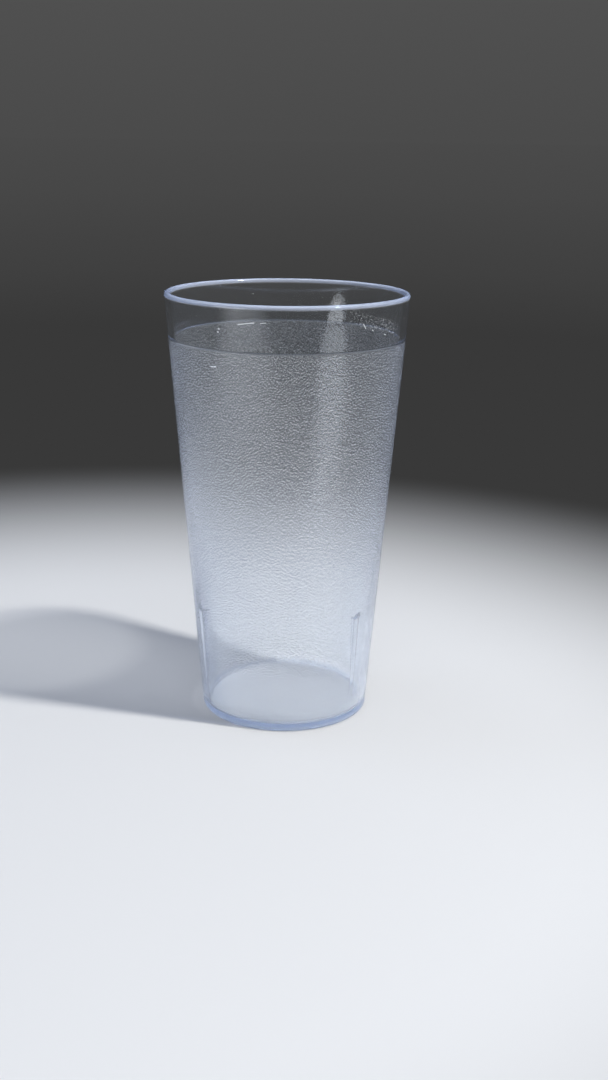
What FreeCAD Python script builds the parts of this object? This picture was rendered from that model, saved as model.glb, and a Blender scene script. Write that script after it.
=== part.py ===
import FreeCAD, Part
import math
import os

import Sketcher

# Clear stacking tumbler, injection moulded in one piece.
# Millimetres, +Z up, origin at the centre of the foot, on the table.

SIZES = {
    # Overall form: the outside wall is a straight taper from foot to lip.
    "cup_height": 154.0,
    "rim_diameter": 86.0,
    "base_diameter": 61.5,
    # Wall, measured level. It thickens a little towards the floor, as the core needs more draft than the cavity.
    "wall_at_rim": 2.1,
    "wall_at_base": 2.7,
    # Smooth drinking band under the lip, standing proud of the pebbled wall by a fine ledge.
    "band_height": 15.5,
    "band_step": 0.1,
    # Floor and foot.
    "floor_top": 2.3,
    "floor_corner_bevel": 0.8,
    "foot_corner_radius": 1.1,
    # Shallow recess that lifts the middle of the underside off the table, with the gate mark at its centre.
    "foot_ring_width": 3.0,
    "recess_depth": 0.4,
    "recess_side_run": 1.0,
    "gate_diameter": 4.0,
    "gate_height": 0.2,
    # Stacking ribs inside the wall: the next cup's foot ring lands on their flat tops, which reach in
    # under the flat of that ring by the seat.
    "rib_count": 3,
    "rib_top": 40.0,
    "rib_run_out": 13.0,
    "rib_seat": 0.1,
    "rib_root_width": 3.1,
    "rib_face_width": 2.0,
    # Length of each rib's lower end that is buried in the wall.
    "rib_tail": 5.0,
}

# Formulas shared by several features, in the names of the sheet.
INNER_SLOPE = (
    "((sizes.rim_diameter / 2 - sizes.wall_at_rim - sizes.base_diameter / 2 + sizes.wall_at_base)"
    " / (sizes.cup_height - sizes.wall_at_rim / 2))"
)
RIB_TOP_RADIUS = "(sizes.base_diameter / 2 - sizes.foot_corner_radius - sizes.rib_seat)"


def inner_radius_at(height):
    """Formula of the inside wall's radius at a height."""
    return f"(sizes.base_diameter / 2 - sizes.wall_at_base + ({height}) * {INNER_SLOPE})"


def make_sheet(doc):
    """Spreadsheet of the driving sizes, one alias a row."""
    sheet = doc.addObject("Spreadsheet::Sheet", "sizes")
    for row, (alias, value) in enumerate(SIZES.items(), start=1):
        sheet.set(f"A{row}", alias)
        sheet.set(f"B{row}", str(value))
        sheet.setAlias(f"B{row}", alias)
    return sheet


def origin_plane(body, role):
    """The body's own origin plane of that role."""
    return next(item for item in body.Origin.OriginFeatures if item.Role == role)


def new_sketch(body, name, role):
    """Empty sketch on one of the body's origin planes."""
    sketch = body.newObject("Sketcher::SketchObject", name)
    sketch.AttachmentSupport = [(origin_plane(body, role), "")]
    sketch.MapMode = "FlatFace"
    return sketch


def line(x1, y1, x2, y2):
    """Straight sketch edge."""
    return Part.LineSegment(FreeCAD.Vector(x1, y1, 0), FreeCAD.Vector(x2, y2, 0))


def arc(x, y, radius, start, end):
    """Sketch arc about a centre, anticlockwise between two angles in degrees."""
    circle = Part.Circle(FreeCAD.Vector(x, y, 0), FreeCAD.Vector(0, 0, 1), radius)
    return Part.ArcOfCircle(circle, math.radians(start), math.radians(end))


def bind(sketch, name, kind, where, value, formula):
    """Dimension in a sketch, tied to a formula of the sheet's sizes."""
    index = sketch.addConstraint(Sketcher.Constraint(kind, *where, value))
    sketch.renameConstraint(index, name)
    sketch.setExpression(f"Constraints.{name}", formula)


def bind_point(sketch, name, edge, end, x_formula=None, y_formula=None):
    """Distance of one end of an edge from the sketch's origin, along either axis."""
    point = sketch.getPoint(edge, end)
    if x_formula:
        bind(sketch, f"{name}_x", "DistanceX", (-1, 1, edge, end), point.x, x_formula)
    if y_formula:
        bind(sketch, f"{name}_y", "DistanceY", (-1, 1, edge, end), point.y, y_formula)


def draw_shell_section(body):
    """Half section of the cup's wall, lip and floor: radius across, height up."""
    size = SIZES
    base = size["base_diameter"] / 2
    foot = size["foot_corner_radius"]
    lip = size["wall_at_rim"] / 2
    lip_x = size["rim_diameter"] / 2 - lip
    lip_y = size["cup_height"] - lip
    slope = (lip_x + lip - base) / lip_y
    lean = math.degrees(math.atan(slope))
    ledge_y = size["cup_height"] - size["band_height"]
    ledge_x = base + ledge_y * slope
    corner = size["floor_corner_bevel"]
    inside = base - size["wall_at_base"]
    floor = size["floor_top"]

    sketch = new_sketch(body, "shell_section", "XZ_Plane")
    underside = sketch.addGeometry(line(0, 0, base - foot, 0))
    foot_arc = sketch.addGeometry(arc(base - foot, foot, foot, 270, 360 - lean))
    wall = sketch.addGeometry(line(base, foot, ledge_x, ledge_y))
    ledge = sketch.addGeometry(line(ledge_x, ledge_y, ledge_x + size["band_step"], ledge_y))
    band = sketch.addGeometry(line(ledge_x + size["band_step"], ledge_y, lip_x + lip, lip_y))
    lip_arc = sketch.addGeometry(arc(lip_x, lip_y, lip, -lean, 180 - lean))
    inner_wall = sketch.addGeometry(line(lip_x - lip, lip_y, inside, floor + corner))
    bevel = sketch.addGeometry(line(inside, floor + corner, inside - corner, floor))
    floor_line = sketch.addGeometry(line(inside - corner, floor, 0, floor))
    axis = sketch.addGeometry(line(0, floor, 0, 0))
    base_mark = sketch.addGeometry(Part.Point(FreeCAD.Vector(base, 0, 0)), True)
    inside_mark = sketch.addGeometry(Part.Point(FreeCAD.Vector(inside, 0, 0)), True)

    # Ends: 1 is an edge's start, 2 its end and 3 an arc's centre; -1 is the sketch's origin and level axis.
    join = [
        Sketcher.Constraint("Coincident", underside, 1, -1, 1),
        Sketcher.Constraint("Coincident", axis, 2, -1, 1),
        Sketcher.Constraint("Coincident", floor_line, 2, axis, 1),
        Sketcher.Constraint("Coincident", wall, 2, ledge, 1),
        Sketcher.Constraint("Coincident", ledge, 2, band, 1),
        Sketcher.Constraint("Coincident", inner_wall, 2, bevel, 1),
        Sketcher.Constraint("Coincident", bevel, 2, floor_line, 1),
        Sketcher.Constraint("Horizontal", underside),
        Sketcher.Constraint("Horizontal", ledge),
        Sketcher.Constraint("Horizontal", floor_line),
        Sketcher.Constraint("Vertical", axis),
        Sketcher.Constraint("Tangent", underside, 2, foot_arc, 1),
        Sketcher.Constraint("Tangent", foot_arc, 2, wall, 1),
        Sketcher.Constraint("Tangent", band, 2, lip_arc, 1),
        Sketcher.Constraint("Tangent", lip_arc, 2, inner_wall, 1),
        Sketcher.Constraint("Parallel", wall, band),
        Sketcher.Constraint("PointOnObject", base_mark, 1, -1),
        Sketcher.Constraint("PointOnObject", base_mark, 1, wall),
        Sketcher.Constraint("PointOnObject", inside_mark, 1, -1),
        Sketcher.Constraint("PointOnObject", inside_mark, 1, inner_wall),
    ]
    sketch.addConstraint(join)

    bind(sketch, "lip_round", "Radius", (lip_arc,), lip, "sizes.wall_at_rim / 2")
    bind_point(sketch, "lip", lip_arc, 3, "(sizes.rim_diameter - sizes.wall_at_rim) / 2",
               "sizes.cup_height - sizes.wall_at_rim / 2")
    bind_point(sketch, "ledge", ledge, 1, None, "sizes.cup_height - sizes.band_height")
    bind(sketch, "ledge_step", "DistanceX", (ledge, 1, ledge, 2), size["band_step"], "sizes.band_step")
    bind_point(sketch, "base", base_mark, 1, "sizes.base_diameter / 2")
    bind_point(sketch, "inside", inside_mark, 1, "sizes.base_diameter / 2 - sizes.wall_at_base")
    bind(sketch, "foot_round", "Radius", (foot_arc,), foot, "sizes.foot_corner_radius")
    bind(sketch, "bevel_run", "DistanceX", (bevel, 2, bevel, 1), corner, "sizes.floor_corner_bevel")
    bind(sketch, "bevel_rise", "DistanceY", (bevel, 2, bevel, 1), corner, "sizes.floor_corner_bevel")
    bind_point(sketch, "floor", floor_line, 1, None, "sizes.floor_top")
    return sketch


def draw_closed_outline(sketch, points):
    """Closed run of straight edges through the points, joined end to start."""
    edges = []
    for here, there in zip(points, points[1:] + points[:1]):
        edges.append(sketch.addGeometry(line(*here, *there)))
    for edge, following in zip(edges, edges[1:] + edges[:1]):
        sketch.addConstraint(Sketcher.Constraint("Coincident", edge, 2, following, 1))
    return edges


def draw_underside_section(body):
    """Half section of what the underside lacks: the recess, less the gate mark."""
    size = SIZES
    rim = size["base_diameter"] / 2 - size["foot_corner_radius"] - size["foot_ring_width"]
    top = size["recess_depth"]
    gate = size["gate_diameter"] / 2
    gate_face = top - size["gate_height"]

    sketch = new_sketch(body, "underside_section", "XZ_Plane")
    points = [
        (0, 0),
        (rim, 0),
        (rim - size["recess_side_run"], top),
        (gate, top),
        (gate, gate_face),
        (0, gate_face),
    ]
    table, side, ceiling, gate_side, gate_end, axis = draw_closed_outline(sketch, points)
    sketch.addConstraint([
        Sketcher.Constraint("Coincident", table, 1, -1, 1),
        Sketcher.Constraint("Horizontal", table),
        Sketcher.Constraint("Horizontal", ceiling),
        Sketcher.Constraint("Vertical", gate_side),
        Sketcher.Constraint("Horizontal", gate_end),
        Sketcher.Constraint("Vertical", axis),
    ])
    ring_inside = "sizes.base_diameter / 2 - sizes.foot_corner_radius - sizes.foot_ring_width"
    bind_point(sketch, "ring", table, 2, ring_inside)
    bind_point(sketch, "ceiling", ceiling, 1, ring_inside + " - sizes.recess_side_run", "sizes.recess_depth")
    bind_point(sketch, "gate", gate_side, 2, "sizes.gate_diameter / 2", "sizes.recess_depth - sizes.gate_height")
    return sketch


def draw_rib_section(body, name, height, face_radius):
    """Level section of one rib: a trapezoid whose narrow edge faces the cup's axis and whose wide
    edge lies in the middle of the wall."""
    buried = f"({inner_radius_at(height)} + sizes.wall_at_rim / 2)"
    reach = f"({inner_radius_at('sizes.rib_top')} - {RIB_TOP_RADIUS})"
    widening = f"((sizes.rib_root_width - sizes.rib_face_width) / {reach})"
    outer_width = f"sizes.rib_face_width + ({buried} - {face_radius}) * {widening}"
    half_face = SIZES["rib_face_width"] / 2
    half_root = SIZES["rib_root_width"] / 2
    near = SIZES["base_diameter"] / 2 - SIZES["wall_at_base"]
    far = near + SIZES["wall_at_base"]

    sketch = new_sketch(body, name, "XY_Plane")
    sketch.setExpression("AttachmentOffset.Base.z", height)
    points = [(-half_face, near), (half_face, near), (half_root, far), (-half_root, far)]
    face, right_side, root, left_side = draw_closed_outline(sketch, points)
    sketch.addConstraint([
        Sketcher.Constraint("Symmetric", face, 1, face, 2, -2),
        Sketcher.Constraint("Symmetric", root, 1, root, 2, -2),
    ])
    bind(sketch, "face_width", "DistanceX", (face, 1, face, 2), 2 * half_face, "sizes.rib_face_width")
    bind(sketch, "outer_width", "DistanceX", (root, 2, root, 1), 2 * half_root, outer_width)
    bind_point(sketch, "face", face, 1, None, face_radius)
    bind_point(sketch, "outer", root, 1, None, buried)
    return sketch


def make_tumbler(doc):
    """The whole moulding: revolved shell, underside recess and the ring of stacking ribs."""
    body = doc.addObject("PartDesign::Body", "tumbler")
    body.Label = "tumbler"

    shell_section = draw_shell_section(body)
    shell = body.newObject("PartDesign::Revolution", "shell")
    shell.Profile = shell_section
    shell.ReferenceAxis = (shell_section, ["V_Axis"])
    shell.Angle = 360
    doc.recompute()

    underside_section = draw_underside_section(body)
    recess = body.newObject("PartDesign::Groove", "underside_recess")
    recess.Profile = underside_section
    recess.ReferenceAxis = (underside_section, ["V_Axis"])
    recess.Angle = 360
    doc.recompute()

    # A rib's face leans outwards on its way up, but less than the wall does, so the rib grows from nothing
    # at its run-out to its full reach at the flat top.
    run_out_radius = inner_radius_at("sizes.rib_run_out")
    face_slope = f"(({RIB_TOP_RADIUS} - {run_out_radius}) / (sizes.rib_top - sizes.rib_run_out))"
    tail_radius = f"({run_out_radius} - sizes.rib_tail * {face_slope})"
    rib_tail = draw_rib_section(body, "rib_tail_section", "sizes.rib_run_out - sizes.rib_tail", tail_radius)
    rib_head = draw_rib_section(body, "rib_top_section", "sizes.rib_top", RIB_TOP_RADIUS)
    rib = body.newObject("PartDesign::AdditiveLoft", "stacking_rib")
    rib.Profile = rib_tail
    rib.Sections = [rib_head]
    rib.Ruled = True
    doc.recompute()

    ribs = body.newObject("PartDesign::PolarPattern", "stacking_ribs")
    ribs.Originals = [rib]
    ribs.Axis = (rib_head, ["N_Axis"])
    ribs.Angle = 360
    ribs.setExpression("Occurrences", "sizes.rib_count")
    body.Tip = ribs
    doc.recompute()
    return body


def check(doc, bodies):
    """Stop if any object failed or any body is not one sound solid."""
    for item in doc.Objects:
        if "Invalid" in item.State or "Error" in item.State:
            raise RuntimeError(f"{item.Name} failed: {item.State}")
    for body in bodies:
        shape = body.Shape
        if shape.isNull() or not shape.isValid() or len(shape.Solids) != 1:
            raise RuntimeError(f"{body.Label} is not one valid solid")


def main():
    doc = FreeCAD.newDocument("stacking_tumbler")
    make_sheet(doc)
    doc.recompute()
    bodies = [make_tumbler(doc)]
    doc.recompute()
    check(doc, bodies)
    os.makedirs("parts", exist_ok=True)
    for body in bodies:
        body.Shape.exportStep(f"parts/{body.Label}.step")
        box = body.Shape.BoundBox
        volume = body.Shape.Volume / 1000
        print(f"{body.Label}: {box.XLength:.3f} x {box.YLength:.3f} x {box.ZLength:.3f} mm, {volume:.2f} cm3")


main()
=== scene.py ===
import math

import bpy
import numpy as np
from mathutils import Matrix, Vector


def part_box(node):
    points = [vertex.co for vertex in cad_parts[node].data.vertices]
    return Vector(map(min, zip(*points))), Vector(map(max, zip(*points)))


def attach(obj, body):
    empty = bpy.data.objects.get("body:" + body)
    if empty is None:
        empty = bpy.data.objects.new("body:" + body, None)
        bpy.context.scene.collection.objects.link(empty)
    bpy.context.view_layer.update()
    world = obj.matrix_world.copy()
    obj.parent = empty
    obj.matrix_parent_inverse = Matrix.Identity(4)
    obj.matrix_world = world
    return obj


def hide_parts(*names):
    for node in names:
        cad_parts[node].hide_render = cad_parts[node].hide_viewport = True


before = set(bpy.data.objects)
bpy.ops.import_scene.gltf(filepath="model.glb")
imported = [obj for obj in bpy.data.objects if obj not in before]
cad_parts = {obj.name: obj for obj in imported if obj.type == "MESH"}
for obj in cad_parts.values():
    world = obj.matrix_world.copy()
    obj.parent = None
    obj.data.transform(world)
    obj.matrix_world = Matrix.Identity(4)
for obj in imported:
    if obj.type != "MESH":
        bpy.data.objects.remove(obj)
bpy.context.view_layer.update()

MM = 0.001

# Overall size of the moulding, from the frame, in millimetres.
low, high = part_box("tumbler")
CUP_HEIGHT = high[2] / MM
RIM_RADIUS = (high[0] - low[0]) / 2 / MM

# Wall, lip, band, floor and foot, in millimetres, as in the part's source.
BASE_RADIUS = 30.75
WALL_AT_RIM = 2.1
WALL_AT_BASE = 2.7
BAND_HEIGHT = 15.5
BAND_STEP = 0.1
FLOOR_TOP = 2.3
FLOOR_CORNER = 0.8
FOOT_CORNER = 1.1
RING_WIDTH = 3.0
RECESS_DEPTH = 0.4
RECESS_RUN = 1.0
GATE_RADIUS = 2.0
GATE_DROP = 0.2

# The mesh's own: how far sharp edges are rounded, how far from a round the next row stands, the rows of the
# rounds at foot, lip and floor, the rows of the band as shares of the way up it and of the floor as shares of
# the way out, and how rough the recess is.
EDGE_ROUND = 0.06
SUPPORT = 0.3
FOOT_ROWS = 8
LIP_ROWS = 19
CORNER_ROWS = 7
BAND_ROWS = (0.02, 0.1, 0.4, 0.7, 0.97)
FLOOR_ROWS = (0.99, 0.9, 0.6, 0.3, 0.08)
RECESS_ROUGH = 0.6

# Stacking ribs inside the wall.
RIB_COUNT = 3
FIRST_RIB = math.radians(90)
RIB_TOP = 40.0
RIB_RUN_OUT = 13.0
RIB_SEAT = 0.1
RIB_ROOT_WIDTH = 3.1
RIB_FACE_WIDTH = 2.0
RIB_EDGE = 0.12
# Rows of the inside wall: evenly spaced ones start and end this far under the lip and over the ribs, then
# this far under the rib tops and the run-out. Columns gather at the ribs by a share that grows with each
# height over them, and less again at a height under them.
PLAIN_START, PLAIN_END, PLAIN_ROWS = 6, 24, 7
RIB_START, RIB_END, RIB_ROWS = 1.5, 3, 14
GATHER_OVER_RIBS = ((16, 0.3), (8, 0.7), (3, 1.0))
GATHER_UNDER_RIBS = (5, 0.5)

# Pebbles of the outside wall, on a lattice of points. They start above the foot and stand lower than the
# smooth band. Their sideways shift is a share of a column, and the lattice ends some rows under the band.
COLUMNS = 288
COLUMN_TURN = 2 * math.pi / COLUMNS
ROW_SQUEEZE = 0.8
PEBBLE_START = 5.0
PEBBLE_FADE = 2.5
PEBBLE_HEIGHT = 0.05
PEBBLE_SHIFT = 0.12
PEBBLE_SEED = 7
# Random draws for each point, as a step of the seed, least and most: the share of its height that a top
# stands, and the shares of the shift sideways and up the wall.
PEBBLE_DRAWS = ((3, 0.75, 1.0), (4, -1.0, 1.0), (5, -0.8, 0.8))
ROWS_LEFT = 1.5

# Finer grain of the same wall, too small for the mesh: its width and depth, its stretch, how far up it is
# looked up again for its lit and shaded sides, the noise between valley and top, and how it grows with height.
GRAIN_WIDTH = 0.74
GRAIN_DEPTH = 0.022
GRAIN_STRETCH = (2.05, 2.05, 1.3)
GRAIN_RAISED = 0.42
GRAIN_EDGE = (0.4, 0.58)
GRAIN_ZONE = (12, 55)
GRAIN_SHARES = (0.06, 0.54)

LIP_RADIUS = WALL_AT_RIM / 2
LIP_HEIGHT = CUP_HEIGHT - LIP_RADIUS
LIP_CENTRE = RIM_RADIUS - LIP_RADIUS
OUTER_SLOPE = (RIM_RADIUS - BASE_RADIUS - BAND_STEP) / LIP_HEIGHT
INNER_SLOPE = (RIM_RADIUS - WALL_AT_RIM - BASE_RADIUS + WALL_AT_BASE) / LIP_HEIGHT
BAND_BOTTOM = CUP_HEIGHT - BAND_HEIGHT
RIB_TOP_RADIUS = BASE_RADIUS - FOOT_CORNER - RIB_SEAT
RIB_TOP_WALL = BASE_RADIUS - WALL_AT_BASE + INNER_SLOPE * RIB_TOP
RIB_SPREAD = (RIB_ROOT_WIDTH - RIB_FACE_WIDTH) / 2 / (RIB_TOP_WALL - RIB_TOP_RADIUS)


def outer_radius(height):
    """Outside wall at the level of the valleys between the pebbles."""
    return BASE_RADIUS + OUTER_SLOPE * height


def inner_radius(height):
    """Inside wall."""
    return BASE_RADIUS - WALL_AT_BASE + INNER_SLOPE * height


class Row:
    """One ring of points round the cup: angles, radii and heights, pebble tops, and how rough it is there."""

    def __init__(self, radius, height, shift=0.0, top=0.0, rough=0.0, angle=None):
        self.shift = shift
        self.angle = (np.arange(COLUMNS) + shift) * COLUMN_TURN if angle is None else angle
        self.radius = np.broadcast_to(radius, COLUMNS).astype(float)
        self.height = np.broadcast_to(height, COLUMNS).astype(float)
        self.top = np.broadcast_to(top, COLUMNS).astype(float)
        self.rough = np.broadcast_to(rough, COLUMNS).astype(float)


def round_rows(centre_radius, centre_height, radius, start, end, steps):
    """Rows along an arc of the section, between two angles in degrees measured from straight outwards."""
    rows = []
    for angle in np.radians(np.linspace(start, end, steps)):
        rows.append(Row(centre_radius + radius * math.cos(angle), centre_height + radius * math.sin(angle)))
    return rows


def underside_rows():
    """Gate mark, recess and foot ring, from the centre outwards."""
    ring = BASE_RADIUS - FOOT_CORNER - RING_WIDTH
    gate_face = RECESS_DEPTH - GATE_DROP
    stations = [
        (GATE_RADIUS - 3 * EDGE_ROUND, gate_face),
        (GATE_RADIUS - EDGE_ROUND, gate_face),
        (GATE_RADIUS, gate_face + EDGE_ROUND),
        (GATE_RADIUS, RECESS_DEPTH - EDGE_ROUND),
        (GATE_RADIUS + EDGE_ROUND, RECESS_DEPTH),
        (GATE_RADIUS + 3 * EDGE_ROUND, RECESS_DEPTH),
        (ring - RECESS_RUN - 4 * EDGE_ROUND, RECESS_DEPTH),
        (ring - RECESS_RUN - 2 * EDGE_ROUND, RECESS_DEPTH),
        (ring - RECESS_RUN + EDGE_ROUND, RECESS_DEPTH - EDGE_ROUND),
        (ring - 2 * EDGE_ROUND, EDGE_ROUND),
        (ring + EDGE_ROUND, 0),
        (ring + 3 * EDGE_ROUND, 0),
        (BASE_RADIUS + OUTER_SLOPE * FOOT_CORNER - FOOT_CORNER - 2 * EDGE_ROUND, 0),
    ]
    return [Row(radius, height, rough=RECESS_ROUGH * (height >= RECESS_DEPTH)) for radius, height in stations]


def wall_rows():
    """Pebbled outside wall. Every second row is half a column round, so that each pebble top has six
    valley points about it: the tops are every third point of each row."""
    rows = []
    height = FOOT_CORNER
    index = 0
    lattice = np.arange(COLUMNS)
    while True:
        radius = outer_radius(height)
        pitch = 2 * math.pi * radius / COLUMNS * math.sqrt(3) / 2 * ROW_SQUEEZE
        left = (BAND_BOTTOM - height) / pitch
        if left < ROWS_LEFT and index % 2 == 0:
            break
        tops = (lattice - index // 2 - index) % 3 == 0
        rough = min(max((height - PEBBLE_START) / PEBBLE_FADE, 0.0), 1.0)
        rows.append(Row(radius, height, shift=(index % 2) / 2, top=tops, rough=rough))
        height += pitch
        index += 1
    rows.append(Row(outer_radius(BAND_BOTTOM), BAND_BOTTOM))
    return rows


def band_rows():
    """Fine ledge over the pebbles and the smooth band above it."""
    ledge = outer_radius(BAND_BOTTOM) + BAND_STEP
    rows = [
        Row(ledge - EDGE_ROUND / 2, BAND_BOTTOM + EDGE_ROUND / 4),
        Row(ledge, BAND_BOTTOM + EDGE_ROUND),
    ]
    for share in BAND_ROWS:
        height = BAND_BOTTOM + share * (LIP_HEIGHT - BAND_BOTTOM)
        rows.append(Row(outer_radius(height) + BAND_STEP, height))
    return rows


def rib_section(height, inset, offset):
    """Radial distance of the inside surface at sideways offsets from a rib's middle line."""
    wall = np.sqrt(inner_radius(height) ** 2 - offset**2)
    lean = (RIB_TOP_RADIUS - inner_radius(RIB_RUN_OUT)) / (RIB_TOP - RIB_RUN_OUT)
    face = RIB_TOP_RADIUS - (RIB_TOP - height) * lean + inset
    side = face + (np.abs(offset) - RIB_FACE_WIDTH / 2 + inset) / RIB_SPREAD
    rib = softer(face, side, RIB_EDGE)
    return -softer(-wall, -rib, RIB_EDGE)


def softer(first, second, blend):
    """The larger of two numbers, rounded where they cross."""
    gap = np.clip(0.5 + (second - first) / (2 * blend), 0, 1)
    return first * (1 - gap) + second * gap + blend * gap * (1 - gap)


def rib_offsets(height):
    """Sideways places of the mesh columns near a rib, gathered at its edges, in millimetres."""
    reach = max(inner_radius(height) - rib_section(height, 0, np.zeros(1))[0], 0)
    face = RIB_FACE_WIDTH / 2
    root = face + reach * RIB_SPREAD
    on_face = [0, 0.45 * face, face - 0.1, face - 0.02]
    on_side = [face + 0.06, (face + root) / 2 + 0.05]
    on_wall = [root + 0.02, root + 0.1, root + 0.3]
    return np.array(on_face + on_side + on_wall)


def rib_row(height, inset=0.0, sunk=None, gather=1.0):
    """Row of the inside wall with the ribs on it. sunk leaves only a fillet of that depth at the wall."""
    angle = np.arange(COLUMNS) * COLUMN_TURN
    radius = np.full(COLUMNS, inner_radius(height))
    near = rib_offsets(min(height, RIB_TOP))
    far = 2 * len(near)
    for rib in range(RIB_COUNT):
        middle = FIRST_RIB + rib * 2 * math.pi / RIB_COUNT
        first = int(round(middle / COLUMN_TURN))
        for step in range(-far, far + 1):
            even = abs(step) * COLUMN_TURN * inner_radius(height)
            if abs(step) < len(near):
                place = near[abs(step)]
            else:
                share = (abs(step) - len(near) + 1) / (far - len(near) + 1)
                place = near[-1] + share * (far * COLUMN_TURN * inner_radius(height) - near[-1])
            place = math.copysign(even + gather * (place - even), step)
            wall = math.sqrt(inner_radius(height) ** 2 - place**2)
            depth = wall
            if height <= RIB_TOP + RIB_EDGE:
                depth = float(rib_section(min(height, RIB_TOP), inset, np.array([place]))[0])
            if sunk is not None:
                depth = max(depth, wall - sunk)
            depth = min(depth, wall)
            column = (first + step) % COLUMNS
            angle[column] = middle + math.atan2(place, depth)
            radius[column] = math.hypot(place, depth)
    return Row(radius, height, angle=angle)


def inner_wall_rows():
    """Polished inside wall from the lip down to the floor, with the stacking ribs."""
    rows = [Row(inner_radius(LIP_HEIGHT - SUPPORT), LIP_HEIGHT - SUPPORT)]
    for height in np.linspace(LIP_HEIGHT - PLAIN_START, RIB_TOP + PLAIN_END, PLAIN_ROWS):
        rows.append(Row(inner_radius(height), height))
    for above, gather in GATHER_OVER_RIBS:
        rows.append(rib_row(RIB_TOP + above, sunk=0, gather=gather))
    rows.append(rib_row(RIB_TOP + RIB_EDGE, sunk=0))
    rows.append(rib_row(RIB_TOP + RIB_EDGE / 4, sunk=RIB_EDGE))
    rows.append(rib_row(RIB_TOP, inset=RIB_EDGE))
    rows.append(rib_row(RIB_TOP - 0.3 * RIB_EDGE, inset=0.3 * RIB_EDGE))
    rows.append(rib_row(RIB_TOP - RIB_EDGE))
    for height in np.linspace(RIB_TOP - RIB_START, RIB_RUN_OUT - RIB_END, RIB_ROWS):
        rows.append(rib_row(height))
    under, gather = GATHER_UNDER_RIBS
    rows.append(rib_row(RIB_RUN_OUT - under, gather=gather))
    return rows


def floor_rows():
    """Rounded corner between wall and floor, then the floor, inwards."""
    lean = math.degrees(math.atan(INNER_SLOPE))
    centre_height = FLOOR_TOP + FLOOR_CORNER
    centre_radius = inner_radius(centre_height) - FLOOR_CORNER
    rows = [Row(inner_radius(centre_height + SUPPORT), centre_height + SUPPORT)]
    rows += round_rows(centre_radius, centre_height, FLOOR_CORNER, -lean, -90, CORNER_ROWS)
    for share in FLOOR_ROWS:
        rows.append(Row(centre_radius * share, FLOOR_TOP))
    return rows


def section_rows():
    """All rows of the closed skin, from the middle of the underside to the middle of the floor."""
    lean = math.degrees(math.atan(OUTER_SLOPE))
    foot_centre = outer_radius(FOOT_CORNER) - FOOT_CORNER
    foot = round_rows(foot_centre, FOOT_CORNER, FOOT_CORNER, -90, -lean, FOOT_ROWS)
    lip = round_rows(LIP_CENTRE, LIP_HEIGHT, LIP_RADIUS, -lean, 180 - lean, LIP_ROWS)
    return underside_rows() + foot[:-1] + wall_rows() + band_rows() + lip + inner_wall_rows() + floor_rows()


def strip_faces(lower, upper, first, second):
    """Faces between two neighbouring rows, whose points start at first and second."""
    here = np.arange(COLUMNS)
    there = (here + 1) % COLUMNS
    if lower.shift == upper.shift:
        return [(first + a, first + b, second + b, second + a) for a, b in zip(here, there)]
    faces = []
    for a, b in zip(here, there):
        if upper.shift > lower.shift:
            faces.append((first + a, first + b, second + a))
            faces.append((first + b, second + b, second + a))
        else:
            faces.append((first + a, second + b, second + a))
            faces.append((first + a, first + b, second + b))
    return faces


def closed_skin(name):
    """Mesh of the whole moulding, with the pebble tops and the roughness marked at each point."""
    rows = section_rows()
    points = [(0, 0, (RECESS_DEPTH - GATE_DROP) * MM)]
    top = [0.0]
    rough = [0.0]
    for row in rows:
        points += zip(row.radius * np.cos(row.angle) * MM, row.radius * np.sin(row.angle) * MM, row.height * MM)
        top += list(row.top)
        rough += list(row.rough)
    points.append((0, 0, FLOOR_TOP * MM))
    top.append(0.0)
    rough.append(0.0)
    last = len(points) - 1
    start = last - COLUMNS
    here = np.arange(COLUMNS)
    there = (here + 1) % COLUMNS
    faces = [(0, 1 + b, 1 + a) for a, b in zip(here, there)]
    for index in range(len(rows) - 1):
        first = 1 + index * COLUMNS
        faces += strip_faces(rows[index], rows[index + 1], first, first + COLUMNS)
    faces += [(start + a, start + b, last) for a, b in zip(here, there)]
    mesh = bpy.data.meshes.new(name)
    mesh.from_pydata([tuple(map(float, p)) for p in points], [], [tuple(map(int, f)) for f in faces])
    mesh.attributes.new("top", "FLOAT", "POINT").data.foreach_set("value", top)
    mesh.attributes.new("rough", "FLOAT", "POINT").data.foreach_set("value", rough)
    mesh.validate()
    return mesh


def linear(hex_colour):
    """sRGB hex colour as linear red, green, blue and alpha."""
    channels = [int(hex_colour[i:i + 2], 16) / 255 for i in (1, 3, 5)]
    return tuple(c / 12.92 if c <= 0.04045 else ((c + 0.055) / 1.055) ** 2.4 for c in channels) + (1.0,)


# Kinds of node that come often.
MATH = "ShaderNodeMath"
VECTOR = "ShaderNodeVectorMath"
RANGE = "ShaderNodeMapRange"
MIX = "ShaderNodeMix"


def node(tree, kind, links=None, **settings):
    """Adds a node, sets its properties, and fills sockets from values, sockets, or nodes' first outputs."""
    made = tree.nodes.new(kind)
    for key, value in settings.items():
        setattr(made, key, value)
    for key, value in (links or {}).items():
        if isinstance(value, bpy.types.Node):
            value = value.outputs[0]
        if isinstance(value, bpy.types.NodeSocket):
            tree.links.new(value, made.inputs[key])
        else:
            made.inputs[key].default_value = value
    return made


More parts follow.
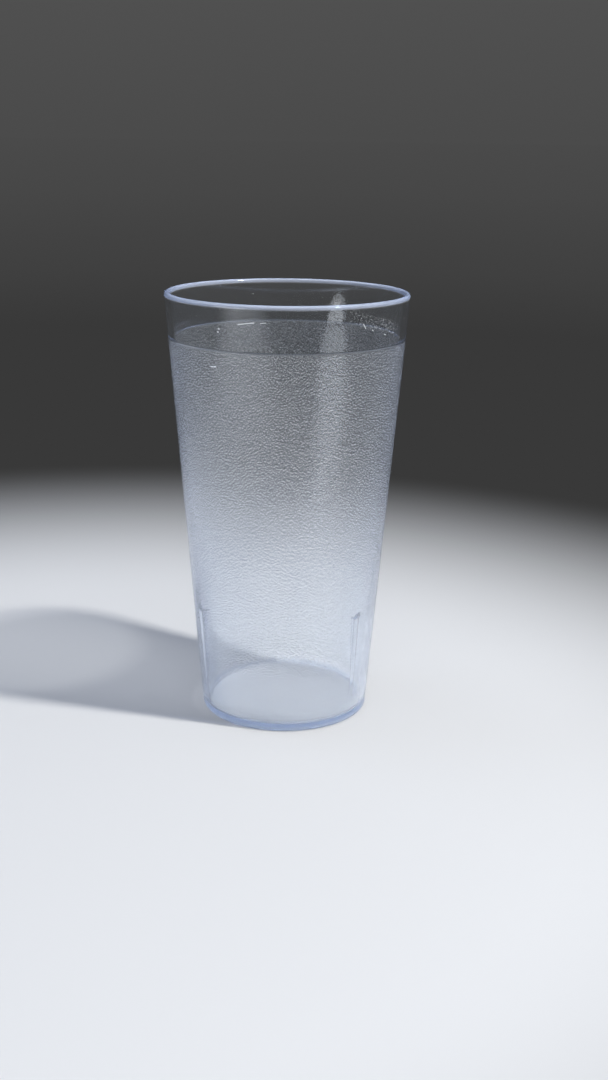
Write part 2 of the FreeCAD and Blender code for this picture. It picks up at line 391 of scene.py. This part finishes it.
def pebble_tree():
    """Geometry Nodes that raise and shift the pebbles on the outside wall."""
    tree = bpy.data.node_groups.new("pebbled_wall", "GeometryNodeTree")
    face = tree.interface
    face.new_socket("Geometry", in_out="INPUT", socket_type="NodeSocketGeometry")
    for label in ("Pebble Height", "Pebble Shift", "Wall Slope"):
        face.new_socket(label, in_out="INPUT", socket_type="NodeSocketFloat")
    face.new_socket("Seed", in_out="INPUT", socket_type="NodeSocketInt")
    face.new_socket("Material", in_out="INPUT", socket_type="NodeSocketMaterial")
    face.new_socket("Geometry", in_out="OUTPUT", socket_type="NodeSocketGeometry")
    given = tree.nodes.new("NodeGroupInput").outputs
    height_share, aside_share, along_share = (
        node(tree, "FunctionNodeRandomValue", {
            "Seed": node(tree, MATH, {0: given["Seed"], 1: step}, operation="ADD"), 2: least, 3: most,
        }, data_type="FLOAT").outputs[1]
        for step, least, most in PEBBLE_DRAWS
    )
    top = node(tree, "GeometryNodeInputNamedAttribute", {"Name": "top"}, data_type="FLOAT")
    rough = node(tree, "GeometryNodeInputNamedAttribute", {"Name": "rough"}, data_type="FLOAT")
    place = node(tree, "GeometryNodeInputPosition")
    level = node(tree, VECTOR, {0: place, 1: (1, 1, 0)}, operation="MULTIPLY")
    outwards = node(tree, VECTOR, {0: level}, operation="NORMALIZE")
    sideways = node(tree, VECTOR, {0: (0, 0, 1), 1: outwards}, operation="CROSS_PRODUCT")
    lean = node(tree, VECTOR, {0: outwards, "Scale": given["Wall Slope"]}, operation="SCALE")
    upwards = node(tree, VECTOR, {0: lean, 1: (0, 0, 1)}, operation="ADD")

    reach = node(tree, MATH, {0: top, 1: height_share}, operation="MULTIPLY")
    reach = node(tree, MATH, {0: reach, 1: given["Pebble Height"]}, operation="MULTIPLY")
    lift = node(tree, VECTOR, {0: outwards, "Scale": reach}, operation="SCALE")
    reach = node(tree, MATH, {0: aside_share, 1: given["Pebble Shift"]}, operation="MULTIPLY")
    aside = node(tree, VECTOR, {0: sideways, "Scale": reach}, operation="SCALE")
    reach = node(tree, MATH, {0: along_share, 1: given["Pebble Shift"]}, operation="MULTIPLY")
    along = node(tree, VECTOR, {0: upwards, "Scale": reach}, operation="SCALE")
    shift = node(tree, VECTOR, {0: aside, 1: along}, operation="ADD")
    move = node(tree, VECTOR, {0: lift, 1: shift}, operation="ADD")
    # Only the rough part of the outside wall moves.
    height = node(tree, "ShaderNodeSeparateXYZ", {0: place}).outputs["Z"]
    on_wall = node(tree, MATH, {0: height, 1: FOOT_CORNER * MM}, operation="GREATER_THAN")
    on_wall = node(tree, MATH, {0: rough, 1: on_wall}, operation="MULTIPLY")
    move = node(tree, VECTOR, {0: move, "Scale": on_wall}, operation="SCALE")

    moved = node(tree, "GeometryNodeSetPosition", {"Geometry": given["Geometry"], "Offset": move})
    smooth = node(tree, "GeometryNodeSetShadeSmooth", {"Geometry": moved.outputs[0], "Shade Smooth": True})
    whole = node(tree, "GeometryNodeRealizeInstances", {"Geometry": smooth.outputs[0]})
    painted = node(tree, "GeometryNodeSetMaterial", {"Geometry": whole.outputs[0], "Material": given["Material"]})
    node(tree, "NodeGroupOutput", {"Geometry": painted.outputs[0]})
    return tree


def make_tumbler(material):
    """The whole moulding as one plain mesh."""
    draft = bpy.data.objects.new("tumbler_draft", closed_skin("tumbler_draft"))
    bpy.context.scene.collection.objects.link(draft)
    pebbles = draft.modifiers.new("pebbled_wall", "NODES")
    pebbles.node_group = pebble_tree()
    column = 2 * math.pi * outer_radius(BAND_BOTTOM / 2) / COLUMNS
    values = {
        "Pebble Height": PEBBLE_HEIGHT * MM,
        "Pebble Shift": PEBBLE_SHIFT * column * MM,
        "Wall Slope": OUTER_SLOPE,
        "Seed": PEBBLE_SEED,
        "Material": material,
    }
    for item in pebbles.node_group.interface.items_tree:
        if item.in_out == "INPUT" and item.name in values:
            pebbles[item.identifier] = values[item.name]
    depsgraph = bpy.context.evaluated_depsgraph_get()
    mesh = bpy.data.meshes.new_from_object(draft.evaluated_get(depsgraph))
    mesh.name = "moulded_tumbler"
    bpy.data.objects.remove(draft)
    cup = bpy.data.objects.new("moulded_tumbler", mesh)
    bpy.context.scene.collection.objects.link(cup)
    return cup


# Wear on the outside, read from the photograph: scratches and nicks as pairs of azimuth in degrees and height
# in millimetres, with their width, and the band's rubbed part.
SCRATCHES = (
    ((-104.7, 147.65), (-97.3, 148.4), 0.45),
    ((-94.5, 148.3), (-92.0, 148.5), 0.3),
    ((-114.6, 145.8), (-114.2, 145.6), 0.6),
    ((-115.2, 144.7), (-114.8, 144.6), 0.5),
    ((-120.2, 132.7), (-117.2, 132.9), 0.4),
    ((-47.0, 147.5), (-45.5, 145.9), 0.3),
    ((-41.5, 145.2), (-40.6, 144.8), 0.4),
    ((-33.0, 143.2), (-31.8, 142.9), 0.35),
)
RUBBED = ((-52.0, 149.6), (-23.4, 144.5), 7.0)
# Hair scratches of the rubbed part: spacing and length in millimetres, width as a share of the spacing.
HAIR_SPACING = 1.2
HAIR_LENGTH = 0.6
HAIR_WIDTH = 0.05
HAIRS_LEFT_OUT = 0.57
HAIR_STRENGTH = 0.6
SPECK_SPACING = 3.2
SPECK_SIZE = 0.16
SPECKS_LEFT_OUT = 0.45
SPECK_STRENGTH = 0.55

# The plastic's look. Zones are pairs of heights in millimetres, and reaches of distances from the axis in
# metres. The ledge line is given by distances from the ledge, in metres.
LIP_ZONE = (CUP_HEIGHT - 1.7, CUP_HEIGHT - 1.1)
FOOT_ZONE = (4.5, 3.0)
FLOOR_REACH = (29 * MM, 28 * MM)
FOOT_REACH = (29.6 * MM, 30.2 * MM)
FOOT_TINT = 0.85
SIDE_TINT = 0.6
SLANT_BLEND = 0.3
LEDGE_LINE = (0.4 * MM, 0.15 * MM)
LEDGE_CLEAR_OF_INSIDE = 0.5
DULLNESS = (0.04, 0.13)
DULL_AT = 0.5
FLOOR_DULLNESS = 0.2
# Shares of white haze: on the wall with its height, on the lip from the front to the sides, all over, on the
# marks, on the lit sides of the grain, on the floor, and on the sides of the wall. The shares all over and on
# the marks are wear, the floor's is partly wear and partly painted light, and the rest are painted light.
WALL_GLOW_ZONE = (140, 30)
WALL_GLOW = (0.03, 0.1)
LIP_GLOW = (0.3, 0.9)
PLAIN_HAZE = 0.008
MARK_HAZE = 0.8
GRAIN_HIGHLIGHT_ZONE = (140, 60)
GRAIN_HIGHLIGHT = (0.55, 0.9)
FLOOR_HAZE_AND_GLOW = 0.46
SIDE_GLOW = 0.11
REFRACTION = 1.57
DEPTH_DENSITY = 15.0
# Colours: the plastic, its long ways at foot and sides as a painted blue cast, the lip from the front to the
# sides as a painted glow, painted shade on the shaded sides of the grain, the ledge line as painted shade,
# and the cast that grows with depth.
PLAIN_COLOUR = "#fbfdff"
EDGE_COLOUR = "#c0d6fd"
LIP_GLOW_COLOURS = ("#dbe3f4", "#aac2f6")
GRAIN_SHADE_COLOUR = "#8a929e"
LEDGE_SHADE_COLOUR = "#6f747d"
DEPTH_COLOUR = "#8ab6ee"
# Share of lamp light that one surface passes: smooth and pebbled, then at a slant. First where light comes
# out of the plastic, then where it goes in.
COMING_OUT = ("#f2f2f4", "#c8c9cb", "#6f7073")
GOING_IN = ("#fefefe", "#f5f6f7", "#dcdde0")


def on_outside(azimuth, height):
    """Point of the outside wall, in metres."""
    radius = outer_radius(height) + (BAND_STEP if height > BAND_BOTTOM else 0)
    turn = math.radians(azimuth)
    return Vector((radius * math.cos(turn), radius * math.sin(turn), height)) * MM


def wear_marks(tree, place):
    """Scratches, the rubbed part of the band, and fine specks, as a share from 0 to 1."""

    def near(start, end, width):
        """One along the middle of a line on the outside, falling to nothing at its width."""
        first = on_outside(*start)
        run = on_outside(*end) - first
        from_first = node(tree, VECTOR, {0: place, 1: first}, operation="SUBTRACT")
        along = node(tree, VECTOR, {0: from_first, 1: run / run.length_squared}, operation="DOT_PRODUCT")
        along = node(tree, "ShaderNodeClamp", {0: along.outputs["Value"]})
        nearest = node(tree, VECTOR, {0: run, "Scale": along}, operation="SCALE")
        gap = node(tree, VECTOR, {0: from_first, 1: nearest}, operation="DISTANCE")
        return node(tree, RANGE, {
            "Value": gap.outputs["Value"], "From Min": width / 2 * MM, "From Max": width / 5 * MM,
        }, interpolation_type="SMOOTHSTEP")

    total = 0.0
    for start, end, width in SCRATCHES:
        total = node(tree, MATH, {0: total, 1: near(start, end, width)}, operation="MAXIMUM")
    # Hair scratches run every way across the rubbed part.
    crossed = node(tree, "ShaderNodeTexVoronoi", {
        "Vector": place, "Scale": 1 / (HAIR_SPACING * MM), "Randomness": 1.0,
    }, feature="DISTANCE_TO_EDGE")
    crossed = node(tree, MATH, {0: crossed.outputs["Distance"], 1: HAIR_WIDTH}, operation="LESS_THAN")
    broken = node(tree, "ShaderNodeTexNoise", {"Vector": place, "Scale": 1 / (HAIR_LENGTH * MM), "Detail": 2.0})
    broken = node(tree, MATH, {0: broken.outputs["Fac"], 1: HAIRS_LEFT_OUT}, operation="GREATER_THAN")
    hairs = node(tree, MATH, {0: crossed, 1: broken}, operation="MULTIPLY")
    hairs = node(tree, MATH, {0: near(*RUBBED), 1: hairs}, operation="MULTIPLY")
    hairs = node(tree, MATH, {0: hairs, 1: HAIR_STRENGTH}, operation="MULTIPLY")
    total = node(tree, MATH, {0: total, 1: hairs}, operation="MAXIMUM")
    specks = node(tree, "ShaderNodeTexVoronoi", {"Vector": place, "Scale": 1 / (SPECK_SPACING * MM)}, feature="F1")
    small = node(tree, MATH, {0: specks.outputs["Distance"], 1: SPECK_SIZE / SPECK_SPACING}, operation="LESS_THAN")
    chosen = node(tree, "ShaderNodeSeparateXYZ", {0: specks.outputs["Color"]}).outputs["X"]
    chosen = node(tree, MATH, {0: chosen, 1: SPECKS_LEFT_OUT}, operation="GREATER_THAN")
    specks = node(tree, MATH, {0: small, 1: chosen}, operation="MULTIPLY")
    specks = node(tree, MATH, {0: specks, 1: SPECK_STRENGTH}, operation="MULTIPLY")
    return node(tree, MATH, {0: total, 1: specks}, operation="MAXIMUM")


def clear_plastic():
    """Clear styrene-acrylonitrile, injection moulded: water clear with a faint blue cast that deepens
    where light runs a long way through it, as at the lip, the foot and the sides of the wall. At those places
    the cast is also painted into the colour, and the lip has a painted glow."""
    material = bpy.data.materials.new("clear_moulded_san")
    material.use_nodes = True
    tree = material.node_tree
    tree.nodes.clear()
    place = node(tree, "ShaderNodeTexCoord").outputs["Object"]
    rough = node(tree, "ShaderNodeAttribute", attribute_name="rough").outputs["Fac"]
    slant = node(tree, "ShaderNodeLayerWeight", {"Blend": SLANT_BLEND}).outputs["Facing"]
    height = node(tree, "ShaderNodeSeparateXYZ", {0: place}).outputs["Z"]
    from_axis = node(tree, VECTOR, {0: place, 1: (1, 1, 0)}, operation="MULTIPLY")
    from_axis = node(tree, VECTOR, {0: from_axis}, operation="LENGTH").outputs["Value"]

    def by_height(zone, shares=(0.0, 1.0)):
        """Number that changes between two heights, in millimetres."""
        return node(tree, RANGE, {
            "Value": height, "From Min": zone[0] * MM, "From Max": zone[1] * MM,
            "To Min": shares[0], "To Max": shares[1],
        })

    def by_reach(zone, shares=(0.0, 1.0)):
        """Number that changes between two distances from the axis, in metres."""
        return node(tree, RANGE, {
            "Value": from_axis, "From Min": zone[0], "From Max": zone[1], "To Min": shares[0], "To Max": shares[1],
        })

    lip = by_height(LIP_ZONE)
    foot = by_height(FOOT_ZONE)
    floor = node(tree, MATH, {0: foot, 1: by_reach(FLOOR_REACH)}, operation="MULTIPLY")

    def grains(raised):
        """Irregular flat-topped grains with narrow valleys, taller than wide, looked up a little higher."""
        where = node(tree, VECTOR, {0: place, 1: (0, 0, raised * MM)}, operation="ADD")
        where = node(tree, VECTOR, {0: where, 1: GRAIN_STRETCH}, operation="MULTIPLY")
        noise = node(tree, "ShaderNodeTexNoise", {
            "Vector": where, "Scale": 1 / (GRAIN_WIDTH * MM), "Detail": 1.0, "Roughness": 0.4,
        })
        return node(tree, RANGE, {
            "Value": noise.outputs["Fac"], "From Min": GRAIN_EDGE[0], "From Max": GRAIN_EDGE[1],
        }, interpolation_type="SMOOTHSTEP")

    cells = grains(0.0)
    higher = grains(GRAIN_RAISED)
    # Painted highlight and painted shade: the grain against the same grain looked up a little higher gives its lit
    # sides, which get white haze, and its shaded sides, which get a darker colour.
    lit_grain_side = node(tree, MATH, {0: cells, 1: higher}, operation="SUBTRACT")
    lit_grain_side = node(tree, "ShaderNodeClamp", {0: lit_grain_side})
    shaded_grain_side = node(tree, MATH, {0: higher, 1: cells}, operation="SUBTRACT")
    shaded_grain_side = node(tree, "ShaderNodeClamp", {0: shaded_grain_side})
    # The grain is faint low down on the wall.
    grown = node(tree, MATH, {0: rough, 1: by_height(GRAIN_ZONE, GRAIN_SHARES)}, operation="MULTIPLY")
    shaded_grain_side = node(tree, MATH, {0: shaded_grain_side, 1: grown}, operation="MULTIPLY")
    relief = node(tree, MATH, {0: cells, 1: grown}, operation="MULTIPLY")
    bump = node(tree, "ShaderNodeBump", {"Height": relief, "Distance": GRAIN_DEPTH * MM})
    dull = node(tree, RANGE, {
        "Value": grown, "From Min": 0.0, "From Max": DULL_AT, "To Min": DULLNESS[0], "To Max": DULLNESS[1],
    })
    floor_dull = node(tree, MATH, {0: floor, 1: FLOOR_DULLNESS}, operation="MULTIPLY")
    dull = node(tree, MATH, {0: dull, 1: floor_dull}, operation="ADD")

    # A faint white haze on the pebbles, the lip and the floor, partly wear from washing and stacking and partly
    # painted light: a painted glow low on the wall, on the lip and on the sides of the wall, and a painted
    # highlight on the lit sides of the grain. Each share of it is the product of what stands in its line.
    lip_glow = node(tree, RANGE, {"Value": slant, "To Min": LIP_GLOW[0], "To Max": LIP_GLOW[1]})
    wear_haze_and_glow = None
    for share, *others in (
        (by_height(WALL_GLOW_ZONE, WALL_GLOW), rough),
        (lip, lip_glow),
        (PLAIN_HAZE,),
        (wear_marks(tree, place), MARK_HAZE),
        (lit_grain_side, grown, by_height(GRAIN_HIGHLIGHT_ZONE, GRAIN_HIGHLIGHT)),
        (floor, FLOOR_HAZE_AND_GLOW),
        (slant, rough, SIDE_GLOW),
    ):
        for other in others:
            share = node(tree, MATH, {0: share, 1: other}, operation="MULTIPLY")
        wear_haze_and_glow = share if wear_haze_and_glow is None else node(tree, MATH, {0: wear_haze_and_glow, 1: share}, operation="ADD")
    clear = node(tree, MATH, {0: 1.0, 1: wear_haze_and_glow}, operation="SUBTRACT")

    # Painted blue cast where light runs a long way through the plastic: at the foot, and at the slanting sides of
    # the pebbled wall.
    edges = node(tree, MATH, {0: foot, 1: by_reach(FOOT_REACH, (0.0, FOOT_TINT))}, operation="MULTIPLY")
    sides = node(tree, MATH, {0: slant, 1: rough}, operation="MULTIPLY")
    sides = node(tree, MATH, {0: sides, 1: SIDE_TINT}, operation="MULTIPLY")
    edges = node(tree, MATH, {0: edges, 1: sides}, operation="MAXIMUM")
    # Painted glow of the lip: a pale blue that deepens towards its sides, for light carried up the wall into the
    # lip.
    front, side = map(linear, LIP_GLOW_COLOURS)
    lip_glow_colour = node(tree, MIX, {0: slant, 6: front, 7: side}, data_type="RGBA").outputs[2]
    # Painted shade: the ledge under the band is painted as a fine dark line.
    off_ledge = node(tree, MATH, {0: height, 1: BAND_BOTTOM * MM}, operation="SUBTRACT")
    off_ledge = node(tree, MATH, {0: off_ledge, 1: 0.0}, operation="ABSOLUTE")
    ledge = node(tree, RANGE, {"Value": off_ledge, "From Min": LEDGE_LINE[0], "From Max": LEDGE_LINE[1]})
    clear_of_inside = (inner_radius(BAND_BOTTOM) + LEDGE_CLEAR_OF_INSIDE) * MM
    outside = by_reach((clear_of_inside, clear_of_inside + LEDGE_CLEAR_OF_INSIDE * MM))
    ledge = node(tree, MATH, {0: ledge, 1: outside}, operation="MULTIPLY")
    body = linear(PLAIN_COLOUR)
    for share, colour in (
        (edges, linear(EDGE_COLOUR)),
        (lip, lip_glow_colour),
        (shaded_grain_side, linear(GRAIN_SHADE_COLOUR)),
        (ledge, linear(LEDGE_SHADE_COLOUR)),
    ):
        body = node(tree, MIX, {0: share, 6: body, 7: colour}, data_type="RGBA").outputs[2]
    shader = node(tree, "ShaderNodeBsdfPrincipled", {
        "Base Color": body,
        "Roughness": dull,
        "IOR": REFRACTION,
        "Transmission Weight": node(tree, "ShaderNodeClamp", {0: clear}),
        "Normal": bump.outputs["Normal"],
    })
    # Lamps' rays pass the walls, so the cup's shadow is pale as a clear cup's is. What comes through one wall
    # fills the cup. The pebbles of the second spread it too wide to reach the floor beside the cup. A shadow
    # ray runs towards the lamp, so light goes into the plastic where the ray meets a back face.
    goes_in = node(tree, "ShaderNodeNewGeometry").outputs["Backfacing"]
    tints = []
    for smooth, pebbled, grazing in (COMING_OUT, GOING_IN):
        tint = node(tree, MIX, {0: rough, 6: linear(smooth), 7: linear(pebbled)}, data_type="RGBA").outputs[2]
        tints.append(node(tree, MIX, {0: slant, 6: tint, 7: linear(grazing)}, data_type="RGBA").outputs[2])
    passed = node(tree, MIX, {0: goes_in, 6: tints[0], 7: tints[1]}, data_type="RGBA").outputs[2]
    passed = node(tree, MIX, {0: floor, 6: passed, 7: linear("#ffffff")}, data_type="RGBA").outputs[2]
    passing = node(tree, "ShaderNodeBsdfTransparent", {"Color": passed})
    is_shadow = node(tree, "ShaderNodeLightPath").outputs["Is Shadow Ray"]
    surface = node(tree, "ShaderNodeMixShader", {0: is_shadow, 1: shader.outputs[0], 2: passing.outputs[0]})
    depth = node(tree, "ShaderNodeVolumeAbsorption", {"Color": linear(DEPTH_COLOUR), "Density": DEPTH_DENSITY})
    node(tree, "ShaderNodeOutputMaterial", {"Surface": surface.outputs[0], "Volume": depth.outputs[0]})
    return material


# Stage, in metres: a pale floor that turns dark grey away from the cup, as in the photograph. The pale part is
# round, with a tongue towards the front left.
FLOOR_SIZE = 60.0
FLOOR_DROP = -0.00003
CAMERA_TURN = math.radians(7.2)
PALE_CENTRE = (-0.070, -0.062, 0.0)
PALE_REACH = 0.17
TONGUE_TURN = math.radians(38) - CAMERA_TURN
TONGUE = (-math.sin(TONGUE_TURN), -math.cos(TONGUE_TURN), 0.0)
TONGUE_START = 0.1
NO_TONGUE = 9.0
TONGUE_NARROW = 1.3
TONGUE_TAPER = 0.18
DARK_REACH = 0.43
# Greys of the far floor by distance over distance plus this length, then of the sky by height.
FAR_HALF = 2.0
FAR_GREYS = ((0.35, "#393939"), (0.46, "#404040"), (0.69, "#474747"), (1.0, "#4b4b4b"))
SKY_GREYS = ((0.5, "#4b4b4b"), (0.57, "#535353"), (0.63, "#8b9097"), (0.75, "#c4cad3"), (1.0, "#e8edf5"))


def grey_ramp(tree, share, stops):
    """Colour ramp through the given greys."""
    ramp = node(tree, "ShaderNodeValToRGB", {"Fac": share})
    points = ramp.color_ramp.elements
    while len(points) < len(stops):
        points.new(1.0)
    for point, (position, colour) in zip(points, stops):
        point.position = position
        point.color = linear(colour)
    return ramp.outputs["Color"]


def background_ray(tree):
    """One for the rays that see the background: those of the camera, reflections and clear plastic."""
    path = node(tree, "ShaderNodeLightPath").outputs
    seen = node(tree, MATH, {0: path["Is Camera Ray"], 1: path["Is Glossy Ray"]}, operation="MAXIMUM")
    return node(tree, MATH, {0: seen, 1: path["Is Transmission Ray"]}, operation="MAXIMUM")


def floor_material():
    """Plain matt floor: pale about the cup, dark grey further off."""
    material = bpy.data.materials.new("matt_floor")
    material.use_nodes = True
    tree = material.node_tree
    tree.nodes.clear()
    place = node(tree, "ShaderNodeTexCoord").outputs["Object"]
    from_middle = node(tree, VECTOR, {0: place, 1: PALE_CENTRE}, operation="SUBTRACT")
    outwards = node(tree, VECTOR, {0: from_middle, 1: TONGUE}, operation="DOT_PRODUCT")
    outwards = node(tree, MATH, {0: outwards.outputs["Value"], 1: 0.0}, operation="MAXIMUM")
    across = node(tree, VECTOR, {0: from_middle, 1: (-TONGUE[1], TONGUE[0], 0.0)}, operation="DOT_PRODUCT")
    across = node(tree, MATH, {0: across.outputs["Value"], 1: 0.0}, operation="ABSOLUTE")
    # The tongue narrows as it runs out of the picture. Before its start it is put out of reach.
    narrow = node(tree, MATH, {0: across, 1: TONGUE_NARROW}, operation="MULTIPLY")
    taper = node(tree, MATH, {0: outwards, 1: TONGUE_TAPER}, operation="MULTIPLY")
    tongue = node(tree, MATH, {0: narrow, 1: taper}, operation="ADD")
    before = node(tree, MATH, {0: outwards, 1: TONGUE_START}, operation="LESS_THAN")
    before = node(tree, MATH, {0: before, 1: NO_TONGUE}, operation="MULTIPLY")
    tongue = node(tree, MATH, {0: tongue, 1: before}, operation="ADD")
    away = node(tree, VECTOR, {0: from_middle}, operation="LENGTH").outputs["Value"]
    away = node(tree, MATH, {0: away, 1: tongue}, operation="MINIMUM")
    # The dark grey further off is painted shade, standing for floor in shade. The pale part about the cup is what
    # the lamps light.
    share = node(tree, RANGE, {
        "Value": away, "From Min": PALE_REACH, "From Max": DARK_REACH,
    }, interpolation_type="SMOOTHSTEP")
    pale = node(tree, "ShaderNodeBsdfPrincipled", {
        "Base Color": linear("#e4e6ea"), "Roughness": 0.9, "Specular IOR Level": 0.2,
    })
    depth = node(tree, MATH, {0: away, 1: FAR_HALF}, operation="ADD")
    depth = node(tree, MATH, {0: away, 1: depth}, operation="DIVIDE")
    far = node(tree, "ShaderNodeEmission", {"Color": grey_ramp(tree, depth, FAR_GREYS),
                                            "Strength": background_ray(tree)})
    surface = node(tree, "ShaderNodeMixShader", {0: share, 1: pale.outputs[0], 2: far.outputs[0]})
    node(tree, "ShaderNodeOutputMaterial", {"Surface": surface.outputs[0]})
    return material


def make_stage():
    """Floor and the plain grey world behind it."""
    mesh = bpy.data.meshes.new("floor")
    half = FLOOR_SIZE / 2
    corners = [(x * half, y * half, FLOOR_DROP) for x, y in ((-1, -1), (1, -1), (1, 1), (-1, 1))]
    mesh.from_pydata(corners, [], [(0, 1, 2, 3)])
    mesh.materials.append(floor_material())
    floor = bpy.data.objects.new("floor", mesh)
    bpy.context.scene.collection.objects.link(floor)

    world = bpy.data.worlds.new("studio")
    bpy.context.scene.world = world
    world.use_nodes = True
    tree = world.node_tree
    tree.nodes.clear()
    direction = node(tree, "ShaderNodeTexCoord").outputs["Generated"]
    up = node(tree, "ShaderNodeSeparateXYZ", {0: direction}).outputs["Z"]
    up = node(tree, RANGE, {"Value": up, "From Min": -1.0, "From Max": 1.0})
    sky = grey_ramp(tree, up, SKY_GREYS)
    colour = node(tree, MIX, {0: background_ray(tree), 6: linear("#5b5f66"), 7: sky}, data_type="RGBA").outputs[2]
    light = node(tree, "ShaderNodeBackground", {"Color": colour, "Strength": 1.0})
    node(tree, "ShaderNodeOutputWorld", {"Surface": light.outputs[0]})


def add_lamp(name, direction, distance, size, power, colour, aim=CUP_HEIGHT / 2 * MM, mirrored=True,
             shape="RECTANGLE"):
    """Soft lamp that faces the cup from a direction. Its distance and size, width and height, are in metres
    and its power in watts. One that isn't mirrored doesn't show in the plastic."""
    lamp = bpy.data.lights.new(name, "AREA")
    lamp.shape = shape
    lamp.size, lamp.size_y = size
    lamp.energy = power
    lamp.color = linear(colour)[:3]
    holder = bpy.data.objects.new(name, lamp)
    about = Matrix.Rotation(CAMERA_TURN, 3, "Z")
    place = about @ (Vector(direction).normalized() * distance)
    holder.location = place + Vector((0, 0, aim))
    holder.rotation_euler = (-place).to_track_quat("-Z", "Y").to_euler()
    holder.visible_camera = False
    holder.visible_glossy = mirrored
    holder.visible_transmission = mirrored
    bpy.context.scene.collection.objects.link(holder)


# Camera of the photograph, fitted to the lip, sides and foot. The frame is 608 x 1080 pixels.
FRAME_HEIGHT = 1080
FOCAL_PIXELS = 1335.7
CAMERA_DISTANCE = 0.4716
CAMERA_HEIGHT = 0.2073
CAMERA_PITCH = math.radians(17.0)
CAMERA_YAW = math.radians(0.83)
CAMERA_ROLL = math.radians(0.69)
SENSOR = 36.0


def make_camera():
    """The camera, set by the fitted place and angles."""
    camera = bpy.data.cameras.new("camera")
    camera.sensor_fit = "VERTICAL"
    camera.sensor_height = SENSOR
    camera.lens = FOCAL_PIXELS / FRAME_HEIGHT * SENSOR
    camera.clip_start = 0.01
    holder = bpy.data.objects.new("camera", camera)
    about = Matrix.Rotation(CAMERA_TURN, 3, "Z")
    ahead = about @ Vector((math.sin(CAMERA_YAW) * math.cos(CAMERA_PITCH),
                            math.cos(CAMERA_YAW) * math.cos(CAMERA_PITCH),
                            -math.sin(CAMERA_PITCH)))
    right = ahead.cross(Vector((0, 0, 1))).normalized()
    up = right.cross(ahead)
    tilted_right = math.cos(CAMERA_ROLL) * right + math.sin(CAMERA_ROLL) * up
    tilted_up = math.cos(CAMERA_ROLL) * up - math.sin(CAMERA_ROLL) * right
    turn = Matrix((tilted_right, tilted_up, -ahead)).transposed().to_4x4()
    place = about @ Vector((0, -CAMERA_DISTANCE, CAMERA_HEIGHT))
    holder.matrix_world = Matrix.Translation(place) @ turn
    bpy.context.scene.collection.objects.link(holder)
    bpy.context.scene.camera = holder


scene = bpy.context.scene
scene.view_settings.view_transform = "Standard"
# Light that runs along inside the wall, the lip and the floor is turned back many times before it leaves.
scene.cycles.max_bounces = 20
scene.cycles.glossy_bounces = 16
scene.cycles.transmission_bounces = 16
scene.cycles.transparent_max_bounces = 16
# The shadow of the cup comes from what its walls pass, and not from stray caustics.
scene.cycles.caustics_refractive = False
make_camera()
make_stage()
add_lamp("key", (0.529, -0.247, 0.809), 1.4, (0.08, 0.08), 16.2, "#fffdf8")
add_lamp("overhead", (-0.1, 0.1, 1.0), 1.7, (2.4, 2.4), 5.4, "#f1f5ff")
add_lamp("right", (1.0, -0.15, 0.25), 1.3, (1.3, 1.0), 0.6, "#f4f7ff", mirrored=False)
add_lamp("left", (-1.0, 0.35, 0.25), 1.3, (1.0, 1.0), 5.6, "#e2ecff", mirrored=False)
add_lamp("front", (0.1, -1.0, 0.2), 1.3, (1.0, 0.6), 6.0, "#f6f9ff", mirrored=False)
add_lamp("low_left", (-0.81, -0.59, 0.0), 0.7, (0.44, 0.24), 0.75, "#ffffff", aim=0.05, shape="ELLIPSE")

plastic = clear_plastic()
cup = make_tumbler(plastic)
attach(cup, "root")
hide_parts("tumbler")
